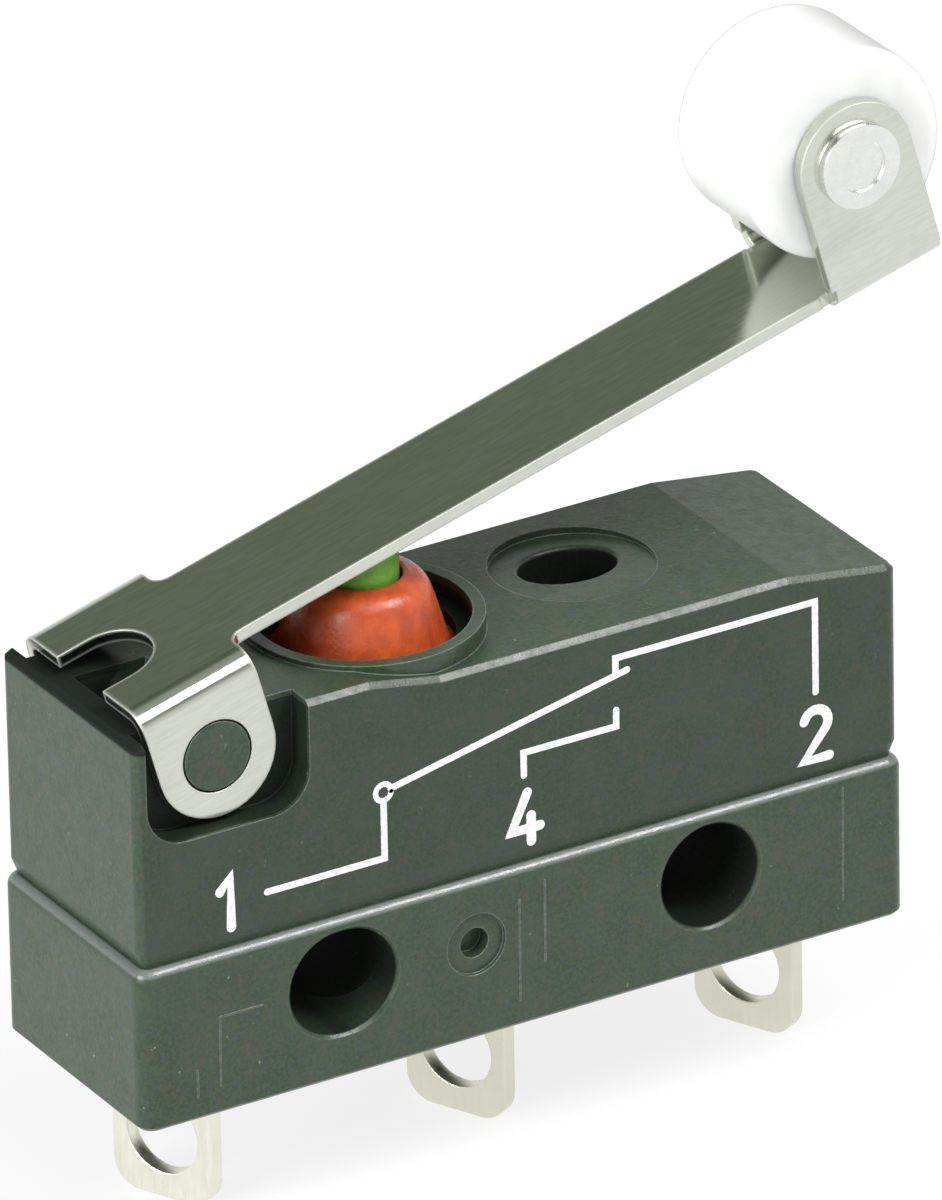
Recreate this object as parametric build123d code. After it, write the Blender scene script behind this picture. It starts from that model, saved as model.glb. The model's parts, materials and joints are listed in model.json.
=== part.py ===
from build123d import *
import os
from math import asin, atan2, cos, degrees, pi, radians, sin, sqrt

# A sealed micro switch with a hinged roller lever. Sizes are in millimetres.
# X runs along the housing from the pivot end, Y through its thickness to the back, Z up.
# Shapes are drawn from the middle of the housing, at the mounting holes' height, and are then
# moved along X so that the origin lies on the axis of the round mounting hole.

# Housing
body_length = 19.8
body_width = 6.2
corner_radius = 0.4
base_height = 3.95
base_round = 0.29
base_edge = 0.1
cover_inset = 0.1
cover_corner_radius = 0.3
taper_height = 0.38
taper_inset = 0.14
deck_height = 5.15
top_chamfer = 0.13
nose_length = 2.85
nose_drop = 0.4
side_wall = 0.7
end_wall = 1.0
roof = 1.2
spigot_height = 0.35
spigot_clearance = 0.05
seal_width = 0.2
seal_height = 0.2

# Mounting holes through the thickness: one round, one slotted
hole_pitch = 9.5
hole_radius = 1.25
slot_length = 2.7
hole_height = 2.35
hole_chamfer = 0.08

# Round moulding mark between the mounting holes, on the front
mark_offset = 1.35
mark_radius = 0.75
mark_depth = 0.1
mark_hole_radius = 0.36
mark_hole_depth = 0.45

# Collar around the plunger, and beside it an oval blind hole in a round recess that deepens to the back
plunger_offset = 2.3
collar_radius = 2.75
collar_bore = 2.45
collar_rise = 0.45
well_depth = 0.65
guide_boss_radius = 1.5
guide_boss_length = 0.2
blind_offset = 3.3
blind_offset_back = 0.5
blind_half_length = 1.16
blind_half_width = 0.92
blind_depth = 1.4
blind_boss_wall = 0.45
blind_rim_round = 0.1
ring_offset_back = 0.3
ring_recess_radius = 1.9
ring_recess_depth = 0.19

# Pivot block at the left end, with a pocket for each ear of the lever
block_rise = 0.32
block_slope_before = 1.55
block_slope_after = 0.25
pivot_from_end = 2.37
pivot_height = 4.55
boss_radius = 0.825
pivot_clearance = 0.05
pocket_gap_left = 0.54
pocket_gap_right = 0.61
pocket_gap_below = 0.15
pocket_corner_radius = 0.95
pocket_wall = 0.6
ear_side_clearance = 0.05
relief_from_end = 0.75
relief_length = 1.85
relief_width = 1.8
relief_depth = 0.7

# Lever: a folded strip, drawn level and then tilted about the pivot
lever_tilt = 15.5
strip_thickness = 0.3
strip_width = 3.12
strip_height = 1.6
bend_radius = 0.25
ear_outer_y = 2.6
ear_radius = 1.48
notch_width = 2.0
notch_depth = 1.78
shoulder_radius = 0.35
fork_length = 2.9
fork_relief_length = 0.11
fork_relief_height = 0.04

# Roller and its rivet
roller_radius = 2.5
roller_length = 3.4
roller_edge = 0.4
roller_reach = 18.92
roller_gap = 0.49
roller_side_clearance = 0.05
axle_radius = 0.75
axle_clearance = 0.05
axle_head_radius = 1.0
axle_head_height = 0.22
axle_dimple_radius = 0.6
axle_dimple_depth = 0.08

# Plunger
plunger_radius = 0.85
plunger_clearance = 0.05
tip_sphere = 1.2
foot_sphere = 0.9
flange_radius = 1.3
flange_height = 0.3
foot_length = 0.15
touch_gap = 0.03

# Rubber boot and the ring that holds its foot
boot_wall = 0.28
boot_foot_height = 0.3
boot_foot_radius = 1.95
boot_shoulder_radius = 1.46
boot_shoulder_rise = 1.85
boot_lip_radius = 1.02
boot_lip_rise = 2.1
crown_bulge = 0.09
ring_height = 0.3
ring_bore = 2.08

# Terminals: sheet lugs, each turned a little about its own stem
terminal_pitch = 7.6
terminal_thickness = 0.4
lug_width = 2.7
lug_length = 3.48
lug_corner = 0.7
lug_hole_radius = 0.95
lug_hole_drop = 1.9
lug_turn = 25.0
stem_width = 1.3
stem_root = 0.3
well_length = 2.3
well_width = 3.2
well_height = 0.9
potting_dip = 0.05

# Contacts
contact_head_radius = 0.6
contact_head_height = 0.3
contact_shank_radius = 0.3
moving_head_radius = 0.55
moving_head_height = 0.25
moving_shank_radius = 0.25
contact_gap = 0.45
contact_offset = 6.3
contact_plate_width = 1.8
contact_plate_margin = 0.7

# Arms inside, and the spring between them
bracket_width = 2.8
bracket_margin = 0.55
window_width = 1.2
window_clearance = 0.09
tongue_width = 1.0
tongue_overhang = 0.35
drive_thickness = 0.25
drive_width = 1.4
drive_reach = 7.0
drive_foot = 1.1
contact_arm_thickness = 0.2
contact_arm_width = 2.7
contact_tip_width = 1.6
arm_window_width = 1.9
arm_window_start = 1.9
arm_window_end = 11.4
arm_end_margin = 0.75
hook_hole_radius = 0.14
hook_hole_rise = 0.3
hook_from_window = 0.4
spring_radius = 0.42
spring_wire_radius = 0.08
spring_turns = 9
spring_lead = 0.75

# Levels and stations worked out from the sizes above
left_end = -body_length / 2
right_end = body_length / 2
half_width = body_width / 2
cover_half = half_width - cover_inset
z_bottom = -hole_height
z_joint = z_bottom + base_height
z_spigot = z_joint + spigot_height
z_deck = z_joint + deck_height
z_block = z_deck + block_rise
z_rim = z_deck + collar_rise
z_well = z_deck - well_depth
z_ceiling = z_deck - roof
z_guide = z_ceiling - guide_boss_length
plunger_x = -plunger_offset
blind_x = blind_offset
blind_y = blind_offset_back
pivot_x = left_end + pivot_from_end
pivot_z = z_joint + pivot_height
fold_radius = bend_radius + strip_thickness
ear_inner_y = ear_outer_y - strip_thickness
pocket_y = ear_inner_y - ear_side_clearance
bracket_x = -terminal_pitch
contact_x = contact_offset

# Roller centre in the level lever's own frame, measured from the pivot axis
strip_top = strip_height + strip_thickness
roller_rise = strip_top + roller_gap + roller_radius
fork_start = roller_reach - fork_length / 2
fork_end = roller_reach + fork_length / 2
fork_inner_y = roller_length / 2 + roller_side_clearance
fork_outer_y = fork_inner_y + strip_thickness

# Heights of the contact stack and of the two arms
z_open_face = z_spigot + terminal_thickness + contact_head_height
z_contact_arm = (z_open_face + touch_gap + contact_gap + moving_head_height
                 + contact_arm_thickness / 2)
z_closed_face = z_contact_arm + contact_arm_thickness / 2 + moving_head_height + touch_gap
z_closed_plate = z_closed_face + contact_head_height
z_flange_top = z_guide - touch_gap
z_foot = z_flange_top - flange_height - foot_length
z_drive_arm = z_foot - touch_gap - drive_thickness / 2


def block(x0, x1, y0, y1, z0, z1):
    """A box between two corners."""
    centre = Pos((x0 + x1) / 2, (y0 + y1) / 2, (z0 + z1) / 2)
    return centre * Box(x1 - x0, y1 - y0, z1 - z0)


def rod_y(x, z, radius, y0, y1):
    """A round bar along Y."""
    return Pos(x, (y0 + y1) / 2, z) * Rot(90, 0, 0) * Cylinder(radius, y1 - y0)


def rod_z(x, y, radius, z0, z1):
    """A round bar along Z."""
    return Pos(x, y, (z0 + z1) / 2) * Cylinder(radius, z1 - z0)


def plate_y(sketch, y0, y1):
    """A sketch drawn in X and Z, made solid between two Y values."""
    solid = extrude(Plane.XZ * sketch, amount=-(y1 - y0))
    return Pos(0, y0, 0) * solid


def outline(points):
    """A flat face with straight edges through the points."""
    return make_face(Polyline(*points, close=True))


def cavity_plan(grow):
    """The plan of the hollow in the cover, grown all round. It is narrow between the ear pockets."""
    narrow_half = pocket_y - pocket_wall + grow
    wide_half = cover_half - side_wall + grow
    x_start = left_end + end_wall - grow
    x_step = pivot_x + ear_radius + pocket_gap_right + pocket_wall - grow
    x_stop = right_end - end_wall + grow
    narrow = Pos((x_start + x_stop) / 2, 0) * Rectangle(x_stop - x_start, 2 * narrow_half)
    wide = Pos((x_step + x_stop) / 2, 0) * Rectangle(x_stop - x_step, 2 * wide_half)
    return narrow + wide


def pocket_plan():
    """The outline of an ear pocket in X and Z, open at the top of the pivot block."""
    x0 = pivot_x - ear_radius - pocket_gap_left
    x1 = pivot_x + ear_radius + pocket_gap_right
    z0 = pivot_z - ear_radius - pocket_gap_below
    z1 = z_block + block_rise
    rectangle = outline([(x0, z0), (x1, z0), (x1, z1), (x0, z1)])
    low_corners = rectangle.vertices().sort_by(Axis.Y)[:2]
    return fillet(low_corners, pocket_corner_radius)


def make_base():
    body = block(left_end, right_end, -half_width, half_width, z_bottom, z_joint)
    body = fillet(body.edges().filter_by(Axis.Z), corner_radius)
    body = fillet(body.faces().sort_by(Axis.Z)[-1].edges(), base_round)
    body = chamfer(body.faces().sort_by(Axis.Z)[0].edges(), base_edge)
    spigot = extrude(Pos(0, 0, z_joint) * cavity_plan(-spigot_clearance), amount=spigot_height)
    body = body + spigot
    through = (-half_width - 1, half_width + 1)
    slot = SlotOverall(slot_length, 2 * hole_radius)
    body -= plate_y(Pos(-hole_pitch / 2, 0) * slot, *through)
    body -= rod_y(hole_pitch / 2, 0, hole_radius, *through)
    for side in (-1, 1):
        y = side * half_width
        mouth = Plane(origin=(0, y, 0), x_dir=(1, 0, 0), z_dir=(0, side, 0))
        wide_slot = SlotOverall(slot_length + 2 * hole_chamfer, 2 * (hole_radius + hole_chamfer))
        wide_hole = Circle(hole_radius + hole_chamfer)
        body -= extrude(mouth * (Pos(-hole_pitch / 2, 0) * wide_slot), amount=-hole_chamfer, taper=45)
        body -= extrude(mouth * (Pos(hole_pitch / 2, 0) * wide_hole), amount=-hole_chamfer, taper=45)
    front = -half_width
    body -= rod_y(-mark_offset, 0, mark_radius, front - 1, front + mark_depth)
    body -= rod_y(-mark_offset, 0, mark_hole_radius, front - 1, front + mark_hole_depth)
    for x in terminal_stations():
        body -= well_block(x)
        body -= stem_block(x, z_bottom, z_spigot + 1)
    return body


def terminal_stations():
    return [-terminal_pitch, 0.0, terminal_pitch]


def well_block(x):
    """The recess in the base's underside around one lug."""
    return block(x - well_length / 2, x + well_length / 2, -well_width / 2, well_width / 2,
                 z_bottom - 1, z_bottom + well_height)


def stem_block(x, z0, z1):
    half = terminal_thickness / 2
    return block(x - half, x + half, -stem_width / 2, stem_width / 2, z0, z1)


def cover_profile():
    """The cover's side outline above the tapered lower edge, without the pivot block."""
    x0 = left_end + cover_inset
    x1 = right_end - cover_inset
    nose_x = right_end - cover_inset - nose_length
    return outline([(x0, z_joint), (x1, z_joint), (x1, z_deck - nose_drop), (nose_x, z_deck), (x0, z_deck)])


def blind_oval(grow, z0, z1):
    """The blind hole's oval, grown by a wall, between two heights."""
    plan = Ellipse(blind_half_length + grow, blind_half_width + grow)
    return extrude(Pos(blind_x, blind_y, z0) * plan, amount=z1 - z0)


def ring_recess():
    """A round recess whose floor is level with the deck at the front and falls towards the back."""
    y0 = ring_offset_back - ring_recess_radius
    y1 = ring_offset_back + ring_recess_radius
    side = Plane(origin=(blind_x - body_width, 0, 0), x_dir=(0, 1, 0), z_dir=(1, 0, 0))
    wedge = outline([(y0, z_deck), (y1, z_deck - ring_recess_depth), (y1, z_rim), (y0, z_rim)])
    room = rod_z(blind_x, ring_offset_back, ring_recess_radius, z_deck - 1, z_rim)
    return room & extrude(side * wedge, amount=2 * body_width)


def is_blind_rim(edge):
    centre = edge.bounding_box().center()
    near = abs(centre.X - blind_x) < 0.2 and abs(centre.Y - blind_y) < 0.2
    return near and abs(centre.Z - z_deck) < ring_recess_depth and edge.length < 2 * pi * blind_half_length


def make_cover():
    """The moulding over the works: tapered foot, pivot block, collar, blind hole and sloped nose."""
    x0 = left_end + cover_inset
    z_foot_edge = z_joint + taper_height
    plan = RectangleRounded(-2 * x0, 2 * cover_half, cover_corner_radius)
    side_view = plate_y(cover_profile(), -cover_half, cover_half)
    slope = [(x0, z_deck - 0.5), (x0, z_block), (plunger_x - block_slope_before, z_block),
             (plunger_x + block_slope_after, z_deck), (plunger_x + block_slope_after, z_deck - 0.5)]
    side_view += plate_y(outline(slope), -cover_half, cover_half)
    body = side_view & extrude(Pos(0, 0, z_foot_edge) * plan, amount=z_block)
    top_edges = [e for e in body.edges() if is_top_edge(e)]
    body = chamfer(top_edges, top_chamfer)
    draft = degrees(atan2(taper_inset, taper_height))
    body += extrude(Pos(0, 0, z_foot_edge) * plan, amount=-taper_height, taper=draft)
    body += rod_z(plunger_x, 0, collar_radius, z_ceiling, z_rim)
    cavity = extrude(Pos(0, 0, z_joint) * cavity_plan(0), amount=z_ceiling - z_joint)
    body -= cavity
    body -= extrude(Pos(0, 0, z_joint) * cavity_plan(seal_width), amount=seal_height)
    body += rod_z(plunger_x, 0, guide_boss_radius, z_guide, z_well)
    body += blind_oval(blind_boss_wall, z_deck - blind_depth - blind_boss_wall, z_deck - roof / 2)
    body -= rod_z(plunger_x, 0, collar_bore, z_well, z_rim + 1)
    body -= rod_z(plunger_x, 0, plunger_radius + plunger_clearance, z_guide - 1, z_rim)
    body -= ring_recess()
    body -= blind_oval(0, z_deck - blind_depth, z_rim)
    body = fillet([e for e in body.edges() if is_blind_rim(e)], blind_rim_round)
    relief_x = left_end + relief_from_end
    body -= block(relief_x, relief_x + relief_length, -relief_width / 2, relief_width / 2,
                  z_block - relief_depth, z_block + 1)
    for side in (-1, 1):
        y_in = side * pocket_y
        y_out = side * (half_width + 1)
        body -= plate_y(pocket_plan(), min(y_in, y_out), max(y_in, y_out))
        y_end = side * ear_outer_y
        body += rod_y(pivot_x, pivot_z, boss_radius, min(y_in, y_end), max(y_in, y_end))
    return body


def is_top_edge(edge):
    """True for the outer edges of the pivot block's top, the deck, the nose and its end."""
    box = edge.bounding_box()
    outer_y = cover_half - cover_corner_radius - 1e-3
    outer_x = right_end - cover_inset - cover_corner_radius - 1e-3
    on_side = min(abs(box.min.Y), abs(box.max.Y)) > outer_y or max(abs(box.min.Y), abs(box.max.Y)) > cover_half - 1e-3
    at_end = min(abs(box.min.X), abs(box.max.X)) > outer_x
    outer = on_side or at_end
    high = box.min.Z > z_deck - nose_drop - 1e-3
    flat = box.max.Z - box.min.Z < nose_drop + 1e-3
    upright = box.max.X - box.min.X < 1e-3 and box.max.Y - box.min.Y < 1e-3
    crosses = abs(box.max.Y + box.min.Y) < 1e-3 and box.max.Y > outer_y - cover_corner_radius
    slope_ends = (plunger_x - block_slope_before, plunger_x + block_slope_after)
    step = crosses and min(abs(box.center().X - x) for x in slope_ends) < 1e-3
    crease = crosses and abs(box.center().X - (right_end - cover_inset - nose_length)) < 1e-3
    return outer and high and flat and not upright and not step and not crease


def make_joint_seal():
    ring = cavity_plan(seal_width) - cavity_plan(-spigot_clearance)
    return extrude(Pos(0, 0, z_joint) * ring, amount=seal_height)


def make_terminal(x):
    """A lug turned about its stem, with the stem up through the base."""
    half = lug_width / 2
    z_low = z_bottom - lug_length
    z_high = z_bottom + stem_root + terminal_thickness
    lug = outline([(-half, z_low), (half, z_low), (half, z_high), (-half, z_high)])
    lug = fillet(lug.vertices().sort_by(Axis.Y)[:2], lug_corner)
    lug -= Pos(0, z_bottom - lug_hole_drop) * Circle(lug_hole_radius)
    plate = plate_y(lug, -terminal_thickness / 2, terminal_thickness / 2)
    turned = Pos(x, 0, 0) * Rot(0, 0, 90 + lug_turn) * plate
    return turned + stem_block(x, z_bottom + stem_root, z_spigot)


def make_common_terminal():
    """The lug and stem, with a bracket above the base that both arms bear on."""
    top = z_drive_arm + drive_thickness / 2 + bracket_margin
    half = terminal_thickness / 2
    bracket = block(bracket_x - half, bracket_x + half, -bracket_width / 2, bracket_width / 2, z_spigot, top)
    for z, thickness in ((z_drive_arm, drive_thickness), (z_contact_arm, contact_arm_thickness)):
        reach = thickness / 2 + window_clearance
        bracket -= block(bracket_x - 1, bracket_x + 1, -window_width / 2, window_width / 2, z - reach, z + reach)
    return make_terminal(bracket_x) + bracket


def make_open_strip():
    """The strip welded across the middle stem. It runs along the base to carry the lower contact."""
    right = contact_x + contact_plate_margin
    plate = block(-terminal_thickness / 2, right, -contact_plate_width / 2, contact_plate_width / 2,
                  z_spigot, z_spigot + terminal_thickness)
    return plate - rod_z(contact_x, 0, contact_shank_radius, z_spigot - 1, z_spigot + terminal_thickness + 1)


def make_closed_strip():
    """The strip welded to the right stem. It rises past the contact arm and turns back over it."""
    half = terminal_thickness / 2
    left = contact_x - contact_plate_margin
    post = block(terminal_pitch - half, terminal_pitch + half, -contact_plate_width / 2, contact_plate_width / 2,
                 z_spigot, z_closed_plate + terminal_thickness)
    plate = block(left, terminal_pitch + half, -contact_plate_width / 2, contact_plate_width / 2,
                  z_closed_plate, z_closed_plate + terminal_thickness)
    strip = post + plate
    return strip - rod_z(contact_x, 0, contact_shank_radius, z_closed_plate - 1, z_closed_plate + terminal_thickness + 1)


def make_potting(x, terminal):
    """Sealing compound that fills the recess around one lug."""
    fill = block(x - well_length / 2, x + well_length / 2, -well_width / 2, well_width / 2,
                 z_bottom + potting_dip, z_bottom + well_height)
    return fill - terminal


def make_open_contact():
    head = rod_z(contact_x, 0, contact_head_radius, z_spigot + terminal_thickness, z_open_face)
    return head + rod_z(contact_x, 0, contact_shank_radius, z_spigot, z_spigot + terminal_thickness)


def make_closed_contact():
    head = rod_z(contact_x, 0, contact_head_radius, z_closed_face, z_closed_plate)
    return head + rod_z(contact_x, 0, contact_shank_radius, z_closed_plate, z_closed_plate + terminal_thickness)


def make_moving_contact():
    low = z_contact_arm - contact_arm_thickness / 2
    high = z_contact_arm + contact_arm_thickness / 2
    rivet = rod_z(contact_x, 0, moving_shank_radius, low, high)
    rivet += rod_z(contact_x, 0, moving_head_radius, low - moving_head_height, low)
    rivet += rod_z(contact_x, 0, moving_head_radius, high, high + moving_head_height)
    return rivet


def make_contact_arm():
    """A thin frame: a tongue in the bracket, two rails, and a narrow tip with the contact."""
    low = z_contact_arm - contact_arm_thickness / 2
    high = z_contact_arm + contact_arm_thickness / 2
    shoulder = bracket_x + terminal_thickness / 2 + touch_gap
    window_start = bracket_x + arm_window_start
    window_end = bracket_x + arm_window_end
    tip_start = contact_x - moving_head_radius - spring_lead
    tip = contact_x + arm_end_margin
    arm = block(shoulder, tip_start, -contact_arm_width / 2, contact_arm_width / 2, low, high)
    arm += block(bracket_x - tongue_overhang, shoulder, -tongue_width / 2, tongue_width / 2, low, high)
    arm += block(tip_start, tip, -contact_tip_width / 2, contact_tip_width / 2, low, high)
    arm -= block(window_start, window_end, -arm_window_width / 2, arm_window_width / 2, low - 1, high + 1)
    arm -= rod_z(contact_x, 0, moving_shank_radius, low - 1, high + 1)
    arm -= rod_z(window_end + hook_from_window, 0, hook_hole_radius, low - 1, high + 1)
    return arm


def make_drive_arm():
    """The arm under the plunger, with a foot bent down into the contact arm's window."""
    low = z_drive_arm - drive_thickness / 2
    high = z_drive_arm + drive_thickness / 2
    shoulder = bracket_x + terminal_thickness / 2 + touch_gap
    tip = bracket_x + drive_reach
    arm = block(shoulder, tip, -drive_width / 2, drive_width / 2, low, high)
    arm += block(bracket_x - tongue_overhang, shoulder, -tongue_width / 2, tongue_width / 2, low, high)
    arm += block(tip - drive_thickness, tip, -drive_width / 2, drive_width / 2, low - drive_foot, low)
    hook_z = low - drive_foot + hook_hole_rise
    arm -= Pos(tip, 0, hook_z) * Rot(0, 90, 0) * Cylinder(hook_hole_radius, 4 * drive_thickness)
    return arm


def make_snap_spring():
    """An open coil from the drive arm's foot to the contact arm, with a straight end at each side."""
    start = Vector(bracket_x + drive_reach, 0,
                   z_drive_arm - drive_thickness / 2 - drive_foot + hook_hole_rise)
    finish = Vector(bracket_x + arm_window_end, 0, z_contact_arm)
    run = finish - start
    direction = run.normalized()
    coil_length = run.length - 2 * spring_lead
    frame = Plane(origin=start + direction * spring_lead, x_dir=(0, 1, 0), z_dir=direction)
    coil_path = frame * Helix(coil_length / spring_turns, coil_length, spring_radius)
    section = Plane(origin=coil_path @ 0, z_dir=coil_path % 0) * Circle(spring_wire_radius)
    coil = sweep(section, path=coil_path, is_frenet=True)
    lead_frame = Plane(origin=start, x_dir=(0, 1, 0), z_dir=direction)
    lead_centre = spring_lead / 2
    first = lead_frame * Pos(spring_radius, 0, lead_centre) * Cylinder(spring_wire_radius, spring_lead)
    last = lead_frame * Pos(spring_radius, 0, run.length - lead_centre) * Cylinder(spring_wire_radius, spring_lead)
    return coil + first + last


def make_lever():
    """The strip with its pivot ears and roller fork, drawn level about the pivot axis."""
    flat_half = ear_outer_y - fold_radius
    top = strip_top
    tail = block(-ear_radius, ear_radius, -flat_half, flat_half, strip_height, top)
    strip_half = strip_width / 2
    strip = block(0, fork_end, -strip_half, strip_half, strip_height, top)
    lever = tail + strip
    for side in (-1, 1):
        lever += shoulder_web(side)
        lever += fold(0, ear_radius, flat_half, side, strip_height, down=True)
        lever += pivot_ear(side)
        lever += fold(roller_reach, fork_length / 2, fork_outer_y - fold_radius, side, strip_height, down=False)
        lever += fork_ear(side)
        lever -= fork_relief(side)
    fork_flat = fork_outer_y - fold_radius
    lever += block(fork_start, fork_end, -fork_flat, fork_flat, strip_height, top)
    notch_round = notch_width / 2
    notch_x = -ear_radius + notch_depth - notch_round
    lever -= block(-ear_radius - 1, notch_x, -notch_round, notch_round, strip_height - 1, top + 1)
    lever -= rod_z(notch_x, 0, notch_round, strip_height - 1, top + 1)
    lever -= rod_y(0, 0, boss_radius + pivot_clearance, -body_width, body_width)
    lever -= rod_y(roller_reach, roller_rise, axle_radius, -body_width, body_width)
    return place_lever(lever)


def shoulder_web(side):
    """The rounded inner corner where the strip widens into the tail."""
    strip_half = strip_width / 2
    reach = min(shoulder_radius, ear_outer_y - fold_radius - strip_half)
    corner = Pos(ear_radius + reach / 2, side * (strip_half + reach / 2)) * Rectangle(reach, reach)
    corner -= Pos(ear_radius + reach, side * (strip_half + reach)) * Circle(reach)
    return extrude(Pos(0, 0, strip_height) * corner, amount=strip_thickness)


def fold(x, half_length, y_start, side, z_low, down):
    """A quarter-round fold along X, from the flat strip to an upright ear."""
    z_centre = z_low - bend_radius if down else z_low + strip_thickness + bend_radius
    centre = Pos(x, side * y_start, z_centre) * Rot(0, 90, 0)
    tube = centre * Cylinder(fold_radius, 2 * half_length) - centre * Cylinder(bend_radius, 2 * half_length)
    y_far = side * (y_start + fold_radius)
    z_far = z_centre + fold_radius if down else z_centre - fold_radius
    quarter = block(x - half_length, x + half_length, min(side * y_start, y_far), max(side * y_start, y_far),
                    min(z_centre, z_far), max(z_centre, z_far))
    return tube & quarter


def pivot_ear(side):
    y_in = side * ear_inner_y
    y_out = side * ear_outer_y
    z_top = strip_height - bend_radius
    face = Pos(0, z_top / 2) * Rectangle(2 * ear_radius, z_top) + Circle(ear_radius)
    trim = Pos(0, z_top + ear_radius) * Rectangle(4 * ear_radius, 2 * ear_radius)
    return plate_y(face - trim, min(y_in, y_out), max(y_in, y_out))


def fork_ear(side):
    y_in = side * fork_inner_y
    y_out = side * fork_outer_y
    z_low = strip_top + bend_radius
    rise = roller_rise - z_low
    face = Pos(roller_reach, z_low + rise / 2) * Rectangle(fork_length, rise)
    face += Pos(roller_reach, roller_rise) * Circle(fork_length / 2)
    return plate_y(face, min(y_in, y_out), max(y_in, y_out))


def fork_relief(side):
    """The small notch that lets the fork's ear fold up clear of the strip."""
    y_in = side * (strip_width / 2 - fork_relief_length / 2)
    y_out = side * (fork_outer_y + 1)
    return block(fork_start - fork_relief_length, fork_start + fork_relief_length,
                 min(y_in, y_out), max(y_in, y_out),
                 strip_height - 1, strip_top + bend_radius + fork_relief_height)


def place_lever(shape):
    """Tilt a shape drawn in the level lever's frame, and set it on the pivot."""
    return Pos(pivot_x, 0, pivot_z) * Rot(0, -lever_tilt, 0) * shape


def make_roller():
    roller = rod_y(roller_reach, roller_rise, roller_radius, -roller_length / 2, roller_length / 2)
    rims = roller.edges().filter_by(GeomType.CIRCLE)
    roller = fillet(rims, roller_edge)
    roller -= rod_y(roller_reach, roller_rise, axle_radius + axle_clearance, -body_width, body_width)
    return place_lever(roller)


def make_roller_axle():
    y_head = fork_outer_y
    y_end = fork_outer_y + axle_head_height
    axle = rod_y(roller_reach, roller_rise, axle_radius, -y_head, y_head)
    axle += rod_y(roller_reach, roller_rise, axle_head_radius, y_head, y_end)
    axle += rod_y(roller_reach, roller_rise, axle_head_radius, -y_end, -y_head)
    axle -= rod_y(roller_reach, roller_rise, axle_dimple_radius, -y_end - 1, -y_end + axle_dimple_depth)
    return place_lever(axle)


def tip_centre_z():
    """Height of the tip's sphere when it all but touches the lever's underside."""
    tilt = radians(lever_tilt)
    reach = strip_height - touch_gap - tip_sphere
    return pivot_z + (reach + (plunger_x - pivot_x) * sin(tilt)) / cos(tilt)


def sphere_cap_drop(sphere, radius):
    return sphere - sqrt(sphere ** 2 - radius ** 2)


def make_plunger():
    """A turned profile: domed tip, stem, flange under the guide, and a domed foot."""
    z_tip = tip_centre_z() + tip_sphere
    tip_drop = sphere_cap_drop(tip_sphere, plunger_radius)
    foot_drop = sphere_cap_drop(foot_sphere, plunger_radius)
    r = plunger_radius
    tip_middle = Vector(tip_sphere * sin(asin(r / tip_sphere) / 2),
                        z_tip - tip_sphere + tip_sphere * cos(asin(r / tip_sphere) / 2))
    foot_middle = Vector(foot_sphere * sin(asin(r / foot_sphere) / 2),
                         z_foot + foot_sphere - foot_sphere * cos(asin(r / foot_sphere) / 2))
    z_flange = z_flange_top - flange_height
    profile = Polyline((r, z_foot + foot_drop), (r, z_flange), (flange_radius, z_flange),
                       (flange_radius, z_flange_top), (r, z_flange_top), (r, z_tip - tip_drop))
    profile += ThreePointArc((r, z_tip - tip_drop), tip_middle, (0, z_tip))
    profile += Line((0, z_tip), (0, z_foot))
    profile += ThreePointArc((0, z_foot), foot_middle, (r, z_foot + foot_drop))
    return Pos(plunger_x, 0, 0) * revolve(Plane.XZ * make_face(profile), Axis.Z)


def make_seal_boot():
    """A turned rubber wall: flat foot, cone, rounded shoulder, and a lip around the plunger."""
    z_foot_top = z_well + boot_foot_height
    z_shoulder = z_well + boot_shoulder_rise
    z_lip = z_well + boot_lip_rise
    bore = plunger_radius + plunger_clearance
    outer = [(collar_bore, z_well), (collar_bore, z_foot_top), (boot_foot_radius, z_foot_top),
             (boot_shoulder_radius, z_shoulder)]
    crown = ThreePointArc((boot_shoulder_radius, z_shoulder), crown_middle(), (boot_lip_radius, z_lip))
    inner_lip = (bore, z_lip - boot_wall / 2)
    inner_crown_end = (bore, z_lip - boot_wall - 0.1)
    inner_shoulder = (boot_shoulder_radius - boot_wall, z_shoulder - boot_wall / 3)
    inner_foot = (boot_foot_radius - boot_wall, z_well)
    profile = Polyline(*outer) + crown
    profile += Polyline((boot_lip_radius, z_lip), inner_lip, inner_crown_end, inner_shoulder, inner_foot,
                        (collar_bore, z_well))
    return Pos(plunger_x, 0, 0) * revolve(Plane.XZ * make_face(profile), Axis.Z)


def crown_middle():
    """A point on the boot's rounded shoulder, bulging out from the straight chord."""
    z_shoulder = z_well + boot_shoulder_rise
    z_lip = z_well + boot_lip_rise
    mid_r = (boot_shoulder_radius + boot_lip_radius) / 2
    mid_z = (z_shoulder + z_lip) / 2
    angle = atan2(z_lip - z_shoulder, boot_shoulder_radius - boot_lip_radius)
    bulge = crown_bulge
    return (mid_r + bulge * sin(angle), mid_z + bulge * cos(angle))


def make_boot_ring():
    low = z_well + boot_foot_height
    ring = rod_z(plunger_x, 0, collar_bore, low, low + ring_height)
    return ring - rod_z(plunger_x, 0, ring_bore, low - 1, low + ring_height + 1)


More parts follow.
